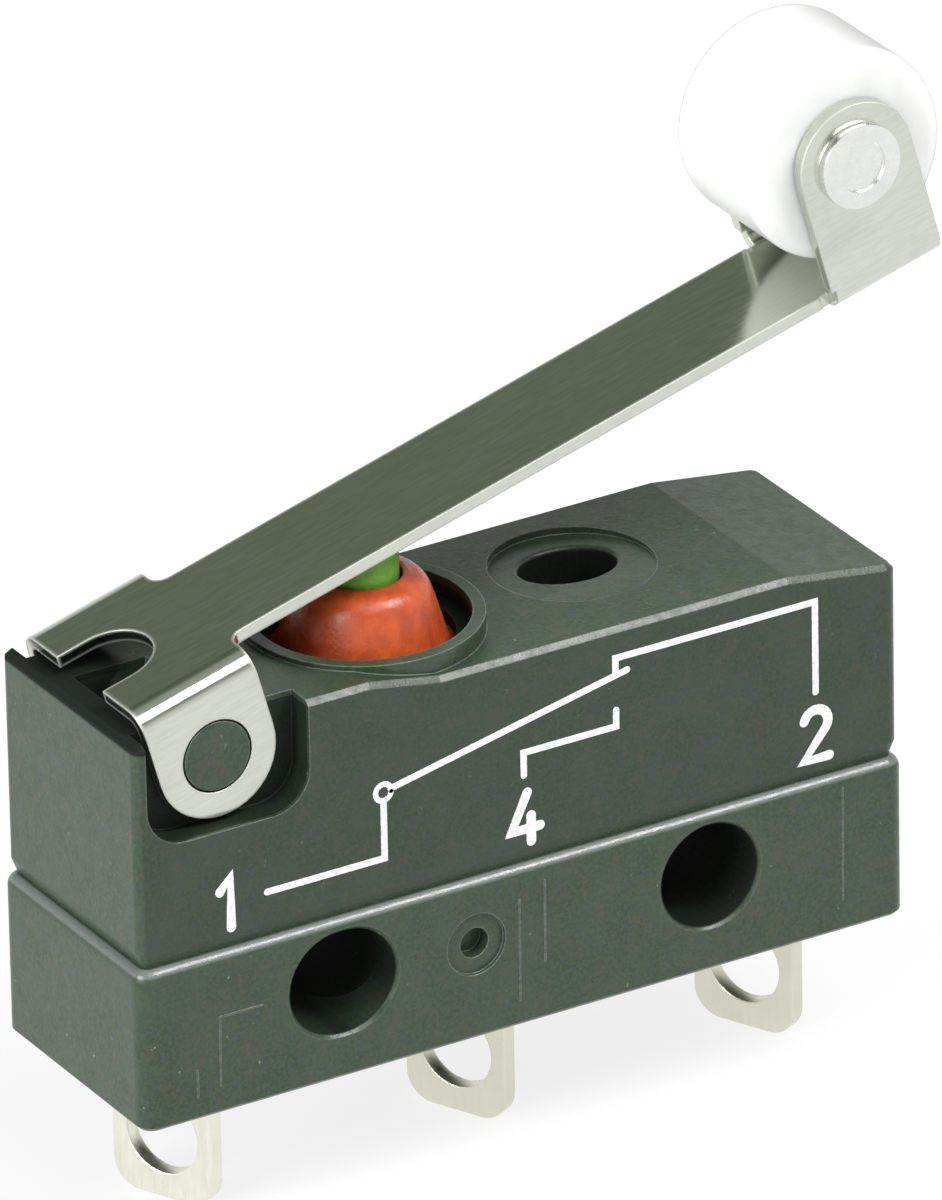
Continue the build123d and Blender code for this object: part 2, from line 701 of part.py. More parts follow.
def build_parts():
    common = make_common_terminal()
    middle = make_terminal(0)
    closed = make_terminal(terminal_pitch)
    return {
        "base": make_base(),
        "cover": make_cover(),
        "joint_seal": make_joint_seal(),
        "common_terminal": common,
        "normally_open_terminal": middle,
        "normally_closed_terminal": closed,
        "common_potting": make_potting(bracket_x, common),
        "open_potting": make_potting(0, middle),
        "closed_potting": make_potting(terminal_pitch, closed),
        "open_strip": make_open_strip(),
        "closed_strip": make_closed_strip(),
        "open_contact": make_open_contact(),
        "closed_contact": make_closed_contact(),
        "moving_contact": make_moving_contact(),
        "contact_arm": make_contact_arm(),
        "drive_arm": make_drive_arm(),
        "snap_spring": make_snap_spring(),
        "plunger": make_plunger(),
        "seal_boot": make_seal_boot(),
        "boot_ring": make_boot_ring(),
        "lever": make_lever(),
        "roller": make_roller(),
        "roller_axle": make_roller_axle(),
    }


os.makedirs("parts", exist_ok=True)
for name, shape in build_parts().items():
    export_step(Pos(-hole_pitch / 2, 0, 0) * shape, f"parts/{name}.step")
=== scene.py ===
"""Lever micro switch: finishes, rubber seal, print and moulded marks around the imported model."""

import json
import math

import bmesh
import bpy
from mathutils import Matrix, Vector

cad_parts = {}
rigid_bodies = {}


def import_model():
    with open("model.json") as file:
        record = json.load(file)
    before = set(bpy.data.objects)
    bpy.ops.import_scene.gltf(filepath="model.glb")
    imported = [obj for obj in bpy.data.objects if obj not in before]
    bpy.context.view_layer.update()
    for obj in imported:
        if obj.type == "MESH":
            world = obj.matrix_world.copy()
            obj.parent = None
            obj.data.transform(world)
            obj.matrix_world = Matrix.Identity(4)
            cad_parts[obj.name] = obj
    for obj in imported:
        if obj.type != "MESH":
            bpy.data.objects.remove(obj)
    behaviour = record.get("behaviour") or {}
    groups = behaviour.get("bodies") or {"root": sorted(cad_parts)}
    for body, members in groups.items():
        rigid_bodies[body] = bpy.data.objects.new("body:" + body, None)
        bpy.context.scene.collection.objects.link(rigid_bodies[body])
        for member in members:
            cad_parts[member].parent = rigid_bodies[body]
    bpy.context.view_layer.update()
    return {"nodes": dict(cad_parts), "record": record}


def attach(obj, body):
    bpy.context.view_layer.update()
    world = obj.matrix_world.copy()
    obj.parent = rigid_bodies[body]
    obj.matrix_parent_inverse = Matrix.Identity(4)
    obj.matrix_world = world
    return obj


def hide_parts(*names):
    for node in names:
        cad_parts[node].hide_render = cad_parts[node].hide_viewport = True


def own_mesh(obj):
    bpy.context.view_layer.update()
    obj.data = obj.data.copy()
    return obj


for leftover in list(bpy.data.objects):
    bpy.data.objects.remove(leftover)

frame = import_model()

MM = 0.001

# Sizes and places in millimetres, in the row frame.
cover_front = -3.0
base_front = -3.1
joint_height = 1.6
lever_tilt = math.radians(15.5)
pivot = Vector((-12.28, 0.0, 6.15))
plunger_x = -7.05
slot_x = -9.5
blind_x = -1.45
blind_y = 0.5
floor_level = -5.835
floor_half_size = 2000.0

# Where painted shade darkens the moulding: holes, the well, the blind hole, the pocket and under the lever's
# tail. A pair of levels is the two ends of a soft step.
hole_reach = 1.24
slot_squeeze = 0.926
well_reach = 2.46
well_top = (6.9, 7.1)
blind_reach = 1.15
blind_squeeze = 1.26
blind_top = (6.55, 6.68)
pocket_left = (-14.44, -14.38)
pocket_right = (-10.0, -9.9)
pocket_foot = (3.9, 4.0)
pocket_top = (6.92, 6.95)
pocket_mouth = (2.88, 2.93)
boss_reach = 0.83
tail_lip_right = (-12.9, -12.2)
tail_lip_foot = (6.80, 6.92)
pocket_share = 0.8
soft_rim = 0.06

# Seal mesh.
boot_sides = 112
boot_line_steps = 3
boot_wobble = 0.004

# Print and moulded marks: stroke widths, and how far they stand off the face.
figure_stroke = 0.24
symbol_stroke = 0.16
pivot_stroke = 0.13
pivot_ring_radius = 0.2
mark_stroke = 0.07
ink_depth = 0.012
mark_depth = 0.007
stroke_step = 0.0006
figure_height = 1.22
figure_foot = 2.12

# How much of the floor's light is its own, for the eye and in mirrored faces.
floor_glow_seen = 0.82
floor_glow_mirrored = 0.92

# Camera, from the photograph's perspective.
camera_azimuth = math.radians(-30.52)
camera_elevation = math.radians(26.15)
camera_roll = math.radians(1.10)
camera_distance = 376.0
camera_shift = (-0.361, 3.778)
camera_target = Vector((-4.75, 0.0, 2.65))
focal_pixels = 16898.0
image_height = 1200.0
sensor_size = 36.0
camera_near = 10.0
camera_far = 20000.0


# Shader building

class Finish:
    """One procedural material. Its coordinates are millimetres in the row frame at rest."""

    def __init__(self, name, turn=0.0):
        self.material = bpy.data.materials.new(name)
        self.material.use_nodes = True
        self.tree = self.material.node_tree
        self.tree.nodes.clear()
        self.output = self.tree.nodes.new("ShaderNodeOutputMaterial")
        self.surface = self.tree.nodes.new("ShaderNodeBsdfPrincipled")
        self.link(self.surface.outputs["BSDF"], self.output.inputs["Surface"])
        coordinates = self.tree.nodes.new("ShaderNodeTexCoord")
        mapping = self.tree.nodes.new("ShaderNodeMapping")
        mapping.inputs["Rotation"].default_value = (0.0, turn, 0.0)
        mapping.inputs["Scale"].default_value = (1 / MM, 1 / MM, 1 / MM)
        self.link(coordinates.outputs["Object"], mapping.inputs["Vector"])
        self.place = mapping.outputs["Vector"]
        self.rounded = None

    def link(self, out, into):
        self.tree.links.new(out, into)

    def set(self, **values):
        for key, value in values.items():
            self.surface.inputs[key.replace("_", " ")].default_value = value
        return self

    def noise(self, scale, detail=3.0, roughness=0.55, stretch=(1.0, 1.0, 1.0), distortion=0.0):
        squeeze = self.tree.nodes.new("ShaderNodeVectorMath")
        squeeze.operation = "MULTIPLY"
        squeeze.inputs[1].default_value = stretch
        self.link(self.place, squeeze.inputs[0])
        texture = self.tree.nodes.new("ShaderNodeTexNoise")
        texture.inputs["Scale"].default_value = scale
        texture.inputs["Detail"].default_value = detail
        texture.inputs["Roughness"].default_value = roughness
        texture.inputs["Distortion"].default_value = distortion
        self.link(squeeze.outputs[0], texture.inputs["Vector"])
        return texture.outputs["Fac"]

    def cells(self, scale):
        texture = self.tree.nodes.new("ShaderNodeTexVoronoi")
        texture.inputs["Scale"].default_value = scale
        self.link(self.place, texture.inputs["Vector"])
        return texture.outputs["Distance"]

    def span(self, value, low, high, start=0.0, end=1.0):
        ranged = self.tree.nodes.new("ShaderNodeMapRange")
        ranged.interpolation_type = "SMOOTHSTEP"
        ranged.inputs["From Min"].default_value = low
        ranged.inputs["From Max"].default_value = high
        ranged.inputs["To Min"].default_value = start
        ranged.inputs["To Max"].default_value = end
        self.link(value, ranged.inputs["Value"])
        return ranged.outputs["Result"]

    def math(self, operation, first, second):
        node = self.tree.nodes.new("ShaderNodeMath")
        node.operation = operation
        for socket, value in zip(node.inputs, (first, second)):
            if isinstance(value, float):
                socket.default_value = value
            else:
                self.link(value, socket)
        return node.outputs[0]

    def blend(self, factor, first, second):
        node = self.tree.nodes.new("ShaderNodeMix")
        node.data_type = "RGBA"
        for socket, value in zip((node.inputs[0], node.inputs[6], node.inputs[7]), (factor, first, second)):
            if isinstance(value, tuple):
                socket.default_value = (*value, 1.0)
            elif isinstance(value, float):
                socket.default_value = value
            else:
                self.link(value, socket)
        return node.outputs[2]

    def soften(self, radius):
        """Rounds the sharp edges that light falls on; bumps lie on top of it."""
        rounded = self.tree.nodes.new("ShaderNodeBevel")
        rounded.samples = 6
        rounded.inputs["Radius"].default_value = radius * MM
        self.rounded = rounded.outputs["Normal"]
        return self

    def both(self, first, second):
        return self.math("MULTIPLY", first, second)

    def either(self, first, *others):
        for other in others:
            first = self.math("MAXIMUM", first, other)
        return first

    def above(self, value, levels):
        """0 under the first level, 1 over the second."""
        return self.span(value, *levels)

    def below(self, value, levels):
        """1 under the first level, 0 over the second."""
        return self.span(value, *levels, 1.0, 0.0)

    def axis(self, letter):
        split = self.tree.nodes.new("ShaderNodeSeparateXYZ")
        self.link(self.place, split.inputs[0])
        return split.outputs[letter]

    def near_axis(self, letters, first, second, radius, stretch=1.0):
        """1 within a radius of a line, 0 outside; the line crosses the plane of the two letters."""
        across = self.math("SUBTRACT", self.axis(letters[0]), float(first))
        along = self.math("SUBTRACT", self.axis(letters[1]), float(second))
        along = self.math("MULTIPLY", along, float(stretch))
        square = self.math("ADD", self.both(across, across), self.both(along, along))
        return self.span(self.math("SQRT", square, 0.0), radius, radius + soft_rim, 1.0, 0.0)

    def edges(self, radius, low, high):
        """1 on sharp edges, 0 on flat faces."""
        rounded = self.tree.nodes.new("ShaderNodeBevel")
        rounded.samples = 6
        rounded.inputs["Radius"].default_value = radius * MM
        flat = self.tree.nodes.new("ShaderNodeNewGeometry")
        dot = self.tree.nodes.new("ShaderNodeVectorMath")
        dot.operation = "DOT_PRODUCT"
        self.link(rounded.outputs["Normal"], dot.inputs[0])
        self.link(flat.outputs["Normal"], dot.inputs[1])
        return self.span(self.math("SUBTRACT", 1.0, dot.outputs["Value"]), low, high)

    def colour(self, out):
        self.link(out, self.surface.inputs["Base Color"])
        return self

    def rough(self, out):
        self.link(out, self.surface.inputs["Roughness"])
        return self

    def bumps(self, *layers):
        """Each layer is (height output, depth in mm)."""
        below = self.rounded
        for height, depth in layers:
            bump = self.tree.nodes.new("ShaderNodeBump")
            bump.inputs["Strength"].default_value = 1.0
            bump.inputs["Distance"].default_value = depth * MM
            self.link(height, bump.inputs["Height"])
            if below is not None:
                self.link(below, bump.inputs["Normal"])
            below = bump.outputs["Normal"]
        self.link(below, self.surface.inputs["Normal"])
        return self


def painted_shade_mask(f):
    """Painted shade mask: 1 in the two holes, the seal's well, the blind hole and under the lever's tail,
    partly in the pocket, less round the ears.
    """
    across, deep, height = f.axis("X"), f.axis("Y"), f.axis("Z")
    holes = f.either(f.near_axis("XZ", 0.0, 0.0, hole_reach),
                     f.near_axis("ZX", 0.0, slot_x, hole_reach, slot_squeeze))
    well = f.both(f.near_axis("XY", plunger_x, 0.0, well_reach), f.below(height, well_top))
    blind = f.near_axis("XY", blind_x, blind_y, blind_reach, blind_squeeze)
    blind = f.both(blind, f.below(height, blind_top))
    tail_lip = f.both(f.below(across, tail_lip_right), f.above(height, tail_lip_foot))
    pocket = f.both(f.below(across, pocket_right), f.above(across, pocket_left))
    pocket = f.both(pocket, f.above(height, pocket_foot))
    pocket = f.both(pocket, f.below(height, pocket_top))
    behind_mouth = f.below(f.math("ABSOLUTE", deep, 0.0), pocket_mouth)
    past_boss = f.math("SUBTRACT", 1.0, f.near_axis("XZ", pivot.x, pivot.z, boss_reach))
    pocket = f.both(f.both(pocket, behind_mouth), past_boss)
    return f.either(holes, well, blind, tail_lip, f.math("MULTIPLY", pocket, pocket_share))


def housing_plastic():
    """Dark green moulding: mottled and finely specked; paler edges from wear and painted highlight, a painted
    highlight on the base's top edge, and painted shade in the hollows and on the cover's front face.
    """
    f = Finish("housing_plastic").soften(0.04)
    speckle = f.noise(11.0, 4.0, 0.6)
    cloud = f.noise(0.9, 3.0)
    fibre = f.noise(6.0, 2.0, 0.5, (1.0, 1.0, 3.0))
    tone = f.blend(f.span(speckle, 0.35, 0.68), (0.017, 0.038, 0.016), (0.037, 0.066, 0.034))
    tone = f.blend(f.span(cloud, 0.3, 0.7, 0.0, 0.35), tone, (0.049, 0.074, 0.047))
    tone = f.blend(f.span(f.noise(4.2, 2.0), 0.50, 0.72, 0.0, 0.55), tone, (0.036, 0.048, 0.058))
    brown = f.span(f.noise(3.7, 2.0, 0.5, (1.0, 1.1, 0.9)), 0.50, 0.72, 0.0, 0.50)
    tone = f.blend(brown, tone, (0.062, 0.056, 0.034))
    grain = f.span(f.cells(7.0), 0.02, 0.16, 0.5, 0.0)
    tone = f.blend(grain, tone, (0.085, 0.115, 0.080))
    height = f.axis("Z")
    specks = f.both(f.span(f.noise(2.6, 2.0), 0.68, 0.76), f.span(f.noise(17.0, 2.0), 0.52, 0.66))
    specks = f.both(specks, f.span(height, joint_height, joint_height + 0.6, 1.0, 0.45))
    tone = f.blend(specks, tone, (0.30, 0.33, 0.29))
    # Paler edges: wear along the fibres, and partly a painted edge highlight.
    worn = f.both(f.edges(0.07, 0.02, 0.22), f.span(fibre, 0.35, 0.6, 0.40, 0.85))
    tone = f.blend(worn, tone, (0.23, 0.25, 0.23))
    # Painted shade: these hollows are darkened nearly to black, and made rougher and less shiny.
    dark = painted_shade_mask(f)
    tone = f.blend(f.math("MULTIPLY", dark, 0.90), tone, (0.004, 0.006, 0.004))
    # Painted shade: the cover's front face is darkened.
    painted_cover_front_shade = f.both(f.below(f.axis("Y"), (cover_front + 0.03, cover_front + 0.07)),
                        f.above(height, (joint_height, joint_height + 0.04)))
    tone = f.blend(f.math("MULTIPLY", painted_cover_front_shade, 0.30), tone, (0.006, 0.010, 0.006))
    # Painted highlight: a pale, smoother band along the base's top edge.
    rim = f.both(f.above(height, (joint_height - 0.20, joint_height - 0.13)),
                 f.below(height, (joint_height - 0.025, joint_height - 0.005)))
    tone = f.blend(f.math("MULTIPLY", rim, 0.75), tone, (0.17, 0.19, 0.175))
    f.colour(tone)
    sheen = f.span(f.noise(3.0, 3.0), 0.3, 0.7, 0.27, 0.38)
    sheen = f.math("SUBTRACT", sheen, f.math("MULTIPLY", rim, 0.12))
    f.rough(f.math("MAXIMUM", sheen, f.math("MULTIPLY", dark, 0.70)))
    f.link(f.span(dark, 0.0, 1.0, 0.5, 0.15), f.surface.inputs["Specular IOR Level"])
    f.bumps((f.noise(8.0, 4.0, 0.65), 0.007), (f.noise(26.0, 2.0), 0.004))
    return f.material


def roller_plastic():
    """White, slightly translucent, with painted shade: a little greyer where it turns away from the eye."""
    f = Finish("roller_plastic")
    tone = f.blend(f.span(f.noise(1.2, 3.0), 0.3, 0.7), (0.72, 0.72, 0.715), (0.76, 0.76, 0.755))
    # Painted shade: the outline, where the surface turns away from the eye, is tinted grey.
    facing = f.tree.nodes.new("ShaderNodeLayerWeight")
    facing.inputs["Blend"].default_value = 0.5
    f.colour(f.blend(f.span(facing.outputs["Facing"], 0.60, 0.95, 0.0, 0.9), tone, (0.45, 0.45, 0.445)))
    f.set(Specular_IOR_Level=0.3, Subsurface_Weight=0.5, Subsurface_Radius=(1.0, 1.0, 0.95),
          Subsurface_Scale=0.9 * MM)
    f.rough(f.span(f.noise(4.0, 3.0), 0.3, 0.7, 0.34, 0.48))
    f.bumps((f.noise(5.0, 3.0, 0.5, (1.0, 0.25, 1.0)), 0.006), (f.noise(22.0, 2.0), 0.002))
    return f.material


def plunger_plastic():
    """Plain green."""
    f = Finish("plunger_plastic")
    f.colour(f.blend(f.span(f.noise(5.0, 3.0), 0.3, 0.7), (0.13, 0.36, 0.030), (0.19, 0.46, 0.055)))
    f.rough(f.span(f.noise(7.0, 3.0), 0.3, 0.7, 0.38, 0.52))
    f.bumps((f.noise(9.0, 3.0), 0.006))
    return f.material


def boot_rubber():
    """Orange-red rubber: a little light passes through it, and its shoulder shines softly."""
    f = Finish("boot_rubber")
    f.set(Subsurface_Weight=0.3, Subsurface_Radius=(1.0, 0.35, 0.15), Subsurface_Scale=0.5 * MM)
    tone = f.blend(f.span(f.noise(2.2, 4.0), 0.3, 0.7), (0.42, 0.058, 0.015), (0.58, 0.100, 0.024))
    tone = f.blend(f.span(f.noise(13.0, 3.0), 0.55, 0.75, 0.0, 0.4), tone, (0.40, 0.045, 0.015))
    f.colour(tone)
    f.rough(f.span(f.noise(5.0, 3.0), 0.3, 0.7, 0.24, 0.40))
    f.bumps((f.noise(6.0, 4.0, 0.6), 0.010), (f.noise(20.0, 2.0), 0.003))
    return f.material


def rolled_metal(name, dark, light, rough, turn=0.0, stretch=(0.12, 1.0, 1.0), lines=9.0, depth=0.0012,
                 edge=0.0, painted_lug_shade=None):
    """Rolled and stamped strip: fine lines along the strip, soft smudges, and paler worn edges that are
    partly a painted highlight.

    edge rounds the light on sharp edges and dulls the cut sides; the last argument is a painted shade tint
    for what lies past the first lug."""
    f = Finish(name, turn)
    if edge:
        f.soften(edge)
    f.set(Metallic=1.0)
    rolled = f.noise(lines, 4.0, 0.65, stretch)
    clouds = f.noise(0.7, 4.0, 0.6)
    tone = f.blend(f.span(rolled, 0.3, 0.7), dark, light)
    darker = tuple(0.82 * part for part in dark)
    tone = f.blend(f.span(clouds, 0.45, 0.75, 0.0, 0.35), tone, darker)
    # Paler edges: wear, and partly a painted edge highlight.
    tone = f.blend(f.edges(0.05, 0.03, 0.3), tone, tuple(min(1.0, 1.08 * part) for part in light))
    # Painted shade: what lies past the first lug is tinted darker.
    if painted_lug_shade:
        tone = f.blend(f.span(f.axis("X"), -9.0, -6.5, 0.0, 0.5), tone, painted_lug_shade)
    f.colour(tone)
    worn = f.math("ADD", f.span(rolled, 0.3, 0.7, rough[0], rough[1]), f.span(clouds, 0.35, 0.7, 0.0, 0.06))
    if edge:
        worn = f.math("MAXIMUM", worn, f.math("MULTIPLY", f.edges(0.14, 0.004, 0.05), 0.55))
    f.rough(worn)
    f.bumps((rolled, depth), (f.noise(3.0, 3.0), depth * 0.4))
    return f.material


def seal_compound():
    """Poured, nearly black, with a soft uneven skin."""
    f = Finish("seal_compound")
    f.colour(f.blend(f.span(f.noise(3.0, 4.0), 0.3, 0.7), (0.020, 0.022, 0.021), (0.045, 0.047, 0.044)))
    f.rough(f.span(f.noise(2.0, 3.0), 0.3, 0.7, 0.22, 0.42))
    f.bumps((f.noise(1.6, 3.0), 0.03), (f.noise(9.0, 3.0), 0.006))
    return f.material


def print_ink():
    """White ink, thinner in places."""
    f = Finish("print_ink")
    f.colour(f.blend(f.span(f.noise(9.0, 4.0, 0.65), 0.32, 0.6), (0.62, 0.64, 0.63), (0.86, 0.87, 0.86)))
    f.rough(f.span(f.noise(8.0, 3.0), 0.3, 0.7, 0.45, 0.62))
    f.bumps((f.noise(14.0, 3.0), 0.004))
    return f.material


finishes = {
    "housing_plastic": housing_plastic(),
    "roller_plastic": roller_plastic(),
    "plunger_plastic": plunger_plastic(),
    "boot_rubber": boot_rubber(),
    "lever_steel": rolled_metal("lever_steel", (0.62, 0.645, 0.575), (0.67, 0.695, 0.625), (0.11, 0.16),
                                turn=lever_tilt, lines=14.0, depth=0.0008, edge=0.05),
    "rivet_steel": rolled_metal("rivet_steel", (0.78, 0.79, 0.76), (0.84, 0.85, 0.82), (0.20, 0.32),
                                stretch=(1.0, 1.0, 1.0), lines=5.0),
    # The lugs past the first carry painted shade.
    "lug_metal": rolled_metal("lug_metal", (0.79, 0.78, 0.68), (0.86, 0.85, 0.76), (0.24, 0.34),
                              stretch=(1.0, 1.0, 0.15), lines=7.0, painted_lug_shade=(0.58, 0.58, 0.45)),
    "contact_metal": rolled_metal("contact_metal", (0.80, 0.79, 0.75), (0.88, 0.87, 0.84), (0.20, 0.30),
                                  stretch=(1.0, 1.0, 1.0), lines=5.0),
    "arm_metal": rolled_metal("arm_metal", (0.74, 0.50, 0.28), (0.83, 0.60, 0.36), (0.24, 0.36)),
    "spring_steel": rolled_metal("spring_steel", (0.55, 0.55, 0.54), (0.65, 0.65, 0.64), (0.20, 0.30)),
    "seal_compound": seal_compound(),
}
ink = print_ink()


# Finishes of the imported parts, and the width of the round on those that need one

rounded_edges = {
    "common_terminal": 0.04, "normally_open_terminal": 0.04, "normally_closed_terminal": 0.04,
    "roller_axle": 0.02,
}


def dress(node, material, width):
    """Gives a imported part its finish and, with a width, rounds its sharp edges."""
    piece = frame["nodes"][node]
    piece.data.materials.clear()
    piece.data.materials.append(material)
    if not width:
        return
    weld = piece.modifiers.new("weld", "WELD")
    weld.merge_threshold = 0.0005 * MM
    flatten = piece.modifiers.new("flatten", "DECIMATE")
    flatten.decimate_type = "DISSOLVE"
    flatten.angle_limit = math.radians(0.5)
    bevel = piece.modifiers.new("bevel", "BEVEL")
    bevel.width = width * MM
    bevel.segments = 2
    bevel.limit_method = "ANGLE"
    bevel.angle_limit = math.radians(32)
    bevel.miter_outer = "MITER_ARC"
    weighted = piece.modifiers.new("normals", "WEIGHTED_NORMAL")
    weighted.weight = 60
    weighted.keep_sharp = True


for entry in frame["record"]["subparts"]:
    node = entry["node"]
    dress(node, finishes[entry["material_slot"]], rounded_edges.get(node, 0.0))


# Mesh helpers

def to_object(name, mesh_data, material, body, crease=35.0):
    """Makes a piece that rides on a body; edges sharper than crease degrees stay sharp."""
    mesh = bpy.data.meshes.new(name)
    mesh_data.normal_update()
    mesh_data.to_mesh(mesh)
    mesh_data.free()
    mesh.shade_smooth()
    mesh.set_sharp_from_angle(angle=math.radians(crease))
    mesh.materials.append(material)
    piece = bpy.data.objects.new(name, mesh)
    bpy.context.scene.collection.objects.link(piece)
    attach(piece, body)
    return piece


def smooth_line(points, steps):
    """Catmull-Rom points through a closed loop."""
    count = len(points)
    line = []
    for i in range(count):
        a, b, c, d = (Vector(points[(i + k - 1) % count]) for k in range(4))
        for s in range(steps):
            t = s / steps
            line.append(0.5 * (2 * b + (c - a) * t + (2 * a - 5 * b + 4 * c - d) * t * t
                               + (3 * b - a - 3 * c + d) * t * t * t))
    return line


def turned(profile, centre, sides, wobble=0.0):
    """A closed (radius, height) profile turned round a vertical axis."""
    data = bmesh.new()
    rings = []
    for k in range(sides):
        turn = 2 * math.pi * k / sides
        grow = 1.0 + wobble * math.sin(3 * turn + 0.7)
        rings.append([data.verts.new(Vector((centre[0] + r * grow * math.cos(turn),
                                             centre[1] + r * grow * math.sin(turn), z)) * MM)
                      for r, z in profile])
    count = len(profile)
    for k in range(sides):
        here, there = rings[k], rings[(k + 1) % sides]
        for i in range(count):
            j = (i + 1) % count
            data.faces.new((here[i], there[i], there[j], here[j]))
    bmesh.ops.recalc_face_normals(data, faces=data.faces)
    return data


# Rubber seal: a cone with a soft shoulder and a rounded lip round the plunger.
boot_profile = [
    (2.40, 6.12), (2.42, 6.26), (2.36, 6.385), (2.12, 6.39), (1.97, 6.43), (1.90, 6.60), (1.80, 6.95),
    (1.70, 7.30), (1.61, 7.60), (1.535, 7.80), (1.465, 7.92), (1.37, 8.02), (1.26, 8.09), (1.12, 8.14),
    (1.01, 8.18), (0.945, 8.17), (0.915, 8.10), (0.91, 7.95), (0.95, 7.80), (1.08, 7.70), (1.22, 7.55),
    (1.33, 7.25), (1.45, 6.85), (1.55, 6.45), (1.63, 6.14),
]
boot_line = smooth_line(boot_profile, boot_line_steps)
boot = to_object("rubber_boot", turned(boot_line, (plunger_x, 0.0), boot_sides, boot_wobble),
                 finishes["boot_rubber"], "housing", 60.0)
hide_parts("seal_boot")
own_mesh(boot)


# Print and moulded marks on the front

def ribbon(data, points, width, front, depth):
    """A stroke of even width along (x, z) points, with round ends, standing off the face at y = front."""
    line = [Vector(p) for p in points]
    half = width / 2

    def pair(flat):
        return [data.verts.new(Vector((flat.x, front + side * depth, flat.y)) * MM) for side in (1, -1)]

    rows = []
    for i, p in enumerate(line):
        before = (p - line[max(i - 1, 0)]).normalized()
        after = (line[min(i + 1, len(line) - 1)] - p).normalized()
        if i == 0:
            before = after
        if i == len(line) - 1:
            after = before
        side_a = Vector((-before.y, before.x))
        mean = (side_a + Vector((-after.y, after.x))).normalized()
        reach = half / max(0.6, mean.dot(side_a))
        rows.append((pair(p + mean * reach), pair(p - mean * reach)))
    for (left, right), (next_left, next_right) in zip(rows, rows[1:]):
        data.faces.new((left[0], next_left[0], next_right[0], right[0]))
        data.faces.new((left[1], right[1], next_right[1], next_left[1]))
        data.faces.new((left[0], left[1], next_left[1], next_left[0]))
        data.faces.new((right[0], next_right[0], next_right[1], right[1]))
    for (left, right), tip, back in ((rows[-1], line[-1], line[-2]), (rows[0], line[0], line[1])):
        ahead = (tip - back).normalized()
        side = Vector((-ahead.y, ahead.x))
        if tip is line[0]:
            left, right = right, left
        turns = [math.pi / 2 - math.pi * k / 8 for k in range(1, 8)]
        rim = [left] + [pair(tip + ahead * (half * math.cos(t)) + side * (half * math.sin(t))) for t in turns]
        rim.append(right)
        for level in (0, 1):
            data.faces.new([corner[level] for corner in rim])
        for here, there in zip(rim, rim[1:]):
            data.faces.new((here[0], there[0], there[1], here[1]))


def arc(centre, radius, start, end, steps):
    """Points along an arc, start and end in degrees."""
    points = []
    for k in range(steps + 1):
        turn = math.radians(start + (end - start) * k / steps)
        points.append((centre[0] + radius * math.cos(turn), centre[1] + radius * math.sin(turn)))
    return points


def digit(value, x, z, height):
    """Strokes of a plain figure, x at its middle and z at its foot."""
    w = height * 0.52
    left, right, top = x - w / 2, x + w / 2, z + height
    if value == 1:
        return [[(x - 0.30 * w, top - 0.24 * height), (x + 0.12 * w, top), (x + 0.12 * w, z)]]
    if value == 2:
        bowl = arc((x, top - w / 2), w / 2, 165, -38, 12)
        return [bowl + [(left, z), (right + 0.04 * w, z)]]
    bar = z + 0.27 * height
    return [[(x + 0.12 * w, top), (left - 0.04 * w, bar), (right + 0.12 * w, bar)],
            [(x + 0.26 * w, z + 0.52 * height), (x + 0.26 * w, z)]]


def strokes(name, lines, width, front, depth, material):
    """Strokes that cross stand off by slightly different depths, so that no two faces share a plane."""
    data = bmesh.new()
    for i, points in enumerate(lines):
        ribbon(data, points, width, front, depth + stroke_step * (i % 3))
    bmesh.ops.recalc_face_normals(data, faces=data.faces)
    return to_object(name, data, material, "housing", 30.0)


figure_places = ((1, -12.35), (4, -4.75), (2, 2.85))
figures = []
for value, x in figure_places:
    figures += digit(value, x, figure_foot, figure_height)
strokes("print_figures", figures, figure_stroke, cover_front, ink_depth, ink)

contact_end = (-2.35, 5.62)
blade_foot = (-8.35, 4.35)
symbol = [
    [(-11.35, 2.73), (-8.35, 2.73), (-8.35, 4.14)],
    [(-8.16, 4.40), (-2.05, 5.66)],
    [(2.85, 3.78), (2.85, 6.02), (-2.35, 6.02), contact_end],
    [(-4.75, 3.78), (-4.75, 4.34), (-2.35, 4.34), (-2.35, 4.74)],
]
strokes("print_symbol", symbol, symbol_stroke, cover_front, ink_depth, ink)
pivot_ring = arc(blade_foot, pivot_ring_radius, 0, 352, 22)
strokes("print_pivot", [pivot_ring], pivot_stroke, cover_front, ink_depth + 0.001, ink)

marks = [
    [(3.48, 1.25), (3.46, -1.55)],
    [(-12.70, -1.65), (-12.68, 0.05), (-11.60, 0.05)],
    [(-13.28, -1.75), (-13.28, -1.10)],
    [(-4.98, 0.80), (-5.00, -1.70)],
    [(-4.32, 1.10), (-4.34, -0.90)],
]
strokes("moulded_marks", marks, mark_stroke, base_front, mark_depth, finishes["housing_plastic"])


# Floor, lamps, surroundings and camera

def ray_kinds(tree):
    """Two outputs: 1 for rays straight from the eye, and 1 for mirrored or passed-through rays."""
    path = tree.nodes.new("ShaderNodeLightPath")
    bounced = tree.nodes.new("ShaderNodeMath")
    bounced.operation = "MAXIMUM"
    tree.links.new(path.outputs["Is Glossy Ray"], bounced.inputs[0])
    tree.links.new(path.outputs["Is Transmission Ray"], bounced.inputs[1])
    return path.outputs["Is Camera Ray"], bounced.outputs[0]


